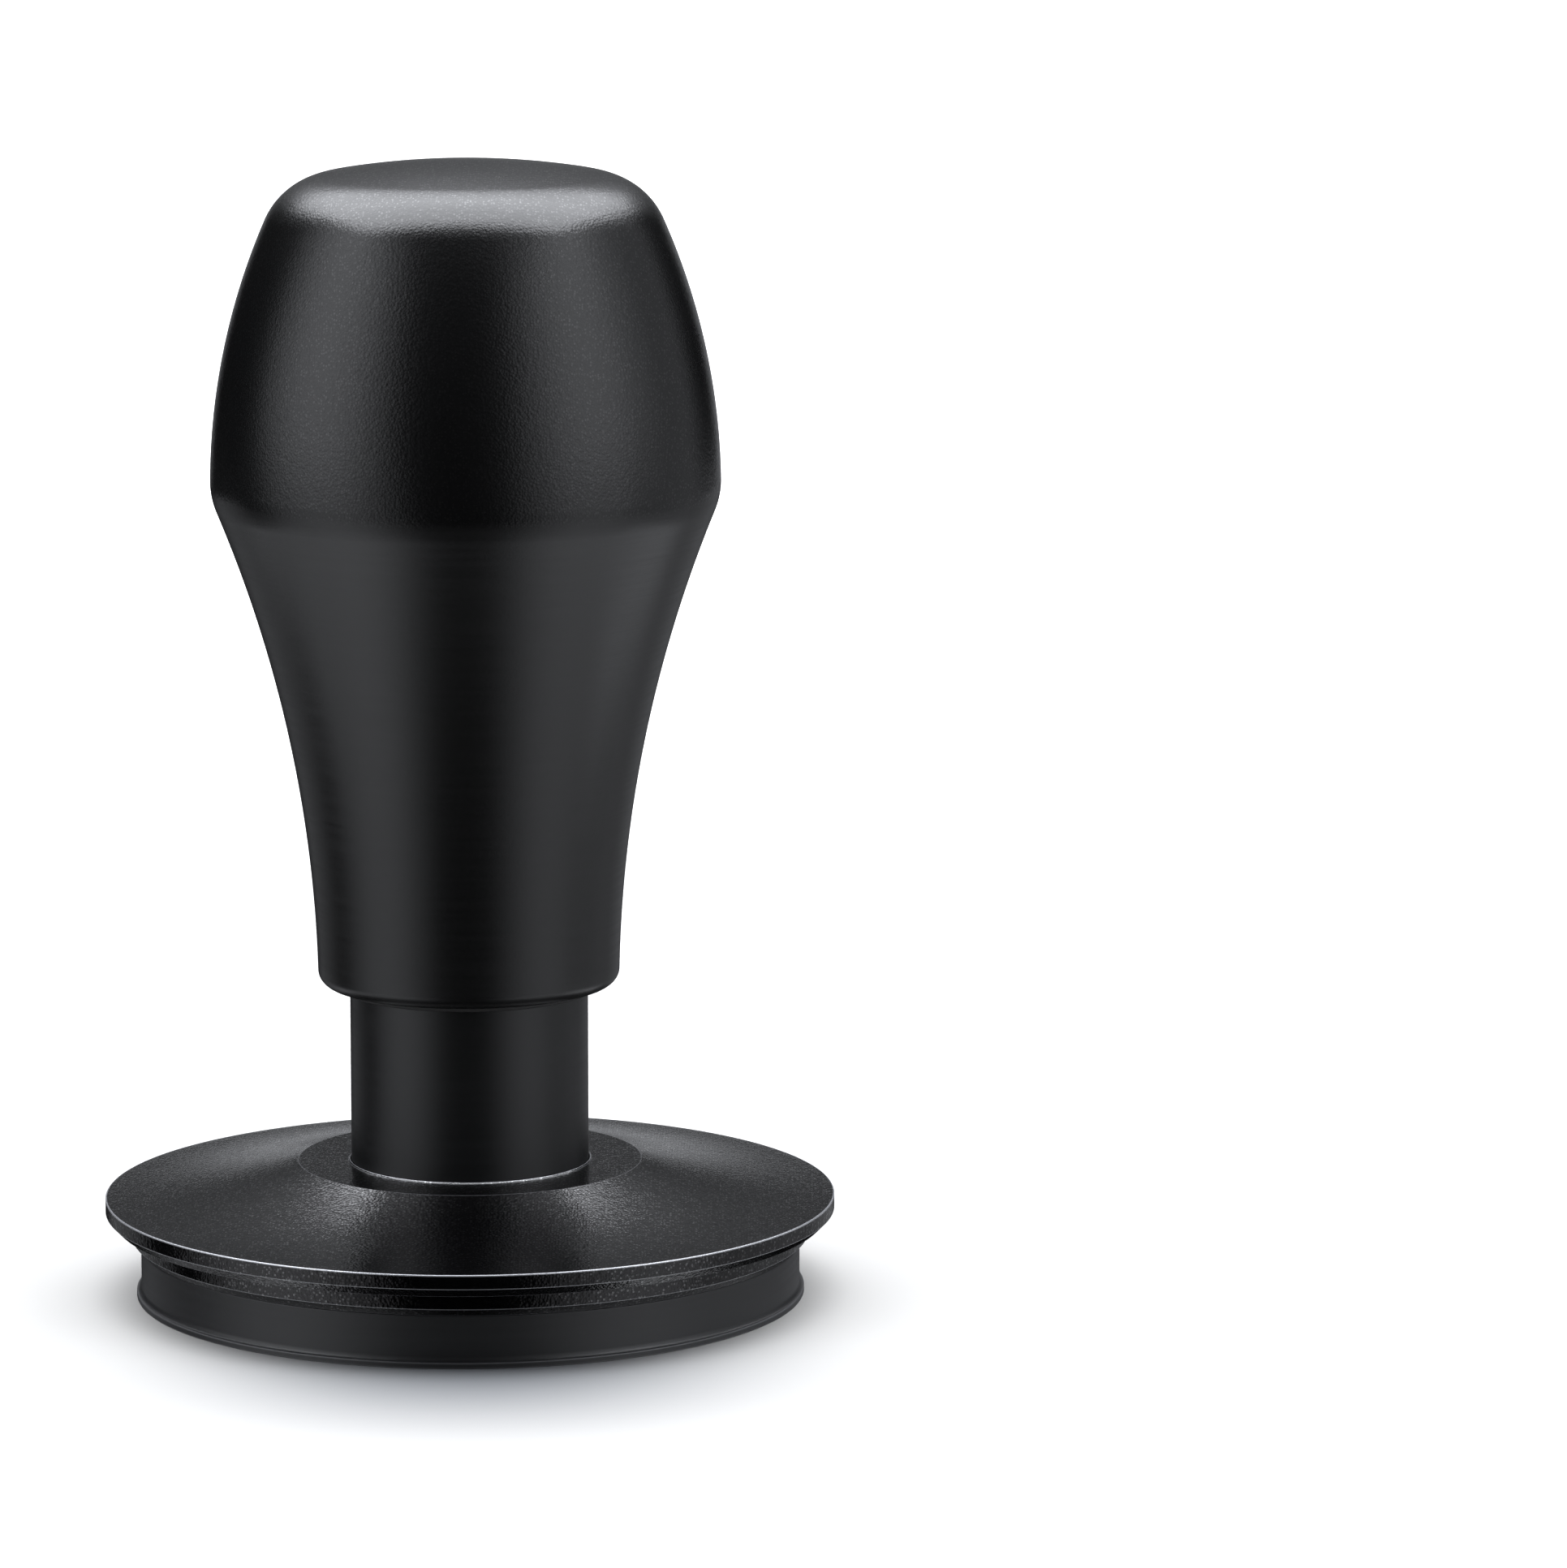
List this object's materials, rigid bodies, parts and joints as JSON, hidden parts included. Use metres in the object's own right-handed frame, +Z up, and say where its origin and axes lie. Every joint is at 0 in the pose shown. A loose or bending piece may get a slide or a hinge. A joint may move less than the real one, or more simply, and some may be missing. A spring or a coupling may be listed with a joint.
{
  "type": "espresso tamper",
  "caption": "Sprung espresso tamper: flared turned handle on a black stem, sliding levelling plate and flat steel tamping base.",
  "frame": {"origin": "centre of the tamping face, on the surface the tamper stands on", "axes": "+Z up the stem towards the crown of the handle; the object is round about Z"},
  "size_m": [0.0638, 0.0638, 0.0993],
  "materials": {
    "base_steel": "satin black coated steel",
    "anodised_handle": "bead-blasted black anodised",
    "anodised_plate": "bead-blasted black anodised",
    "stem_black": "satin black",
    "bearing_plastic": "natural acetal, dark",
    "black_rubber": "matte",
    "spring_steel": "bright drawn wire",
    "zinc_steel": "zinc plated"
  },
  "bodies": {
    "base_and_stem": {"tamper_base": "base_steel", "base_stud": "zinc_steel", "base_washer": "bearing_plastic", "stem_tube": "stem_black", "stem_guide_ring": "bearing_plastic", "stem_cap": "zinc_steel", "bump_stop": "black_rubber", "lower_spring_seat": "zinc_steel", "main_spring": "spring_steel"},
    "spring_seat": {"upper_spring_seat": "zinc_steel", "thrust_washer": "bearing_plastic"},
    "handle": {"handle_shell": "anodised_handle", "threaded_insert": "zinc_steel", "centre_bolt": "zinc_steel", "bolt_buffer": "black_rubber", "handle_bush": "bearing_plastic", "handle_wiper": "black_rubber"},
    "plate_bearing": {"plate_bush": "bearing_plastic"},
    "plate": {"levelling_plate": "anodised_plate", "plate_retaining_ring": "spring_steel"}
  },
  "joints": [
    {"name": "handle_press", "type": "slide", "parent": "base_and_stem", "child": "spring_seat", "axis": [0, 0, -1], "range_m": [0, 0.006], "stiffness_N_per_m": 13400, "springref_m": -0.004, "deforming": ["main_spring"]},
    {"name": "handle_spin", "type": "hinge", "parent": "spring_seat", "child": "handle", "pos_m": [0, 0, 0.0889], "axis": [0, 0, 1], "continuous": true},
    {"name": "plate_lift", "type": "slide", "parent": "base_and_stem", "child": "plate_bearing", "axis": [0, 0, 1], "range_m": [0, 0.0085]},
    {"name": "plate_spin", "type": "hinge", "parent": "plate_bearing", "child": "plate", "pos_m": [0, 0, 0.009], "axis": [0, 0, 1], "continuous": true}
  ]
}
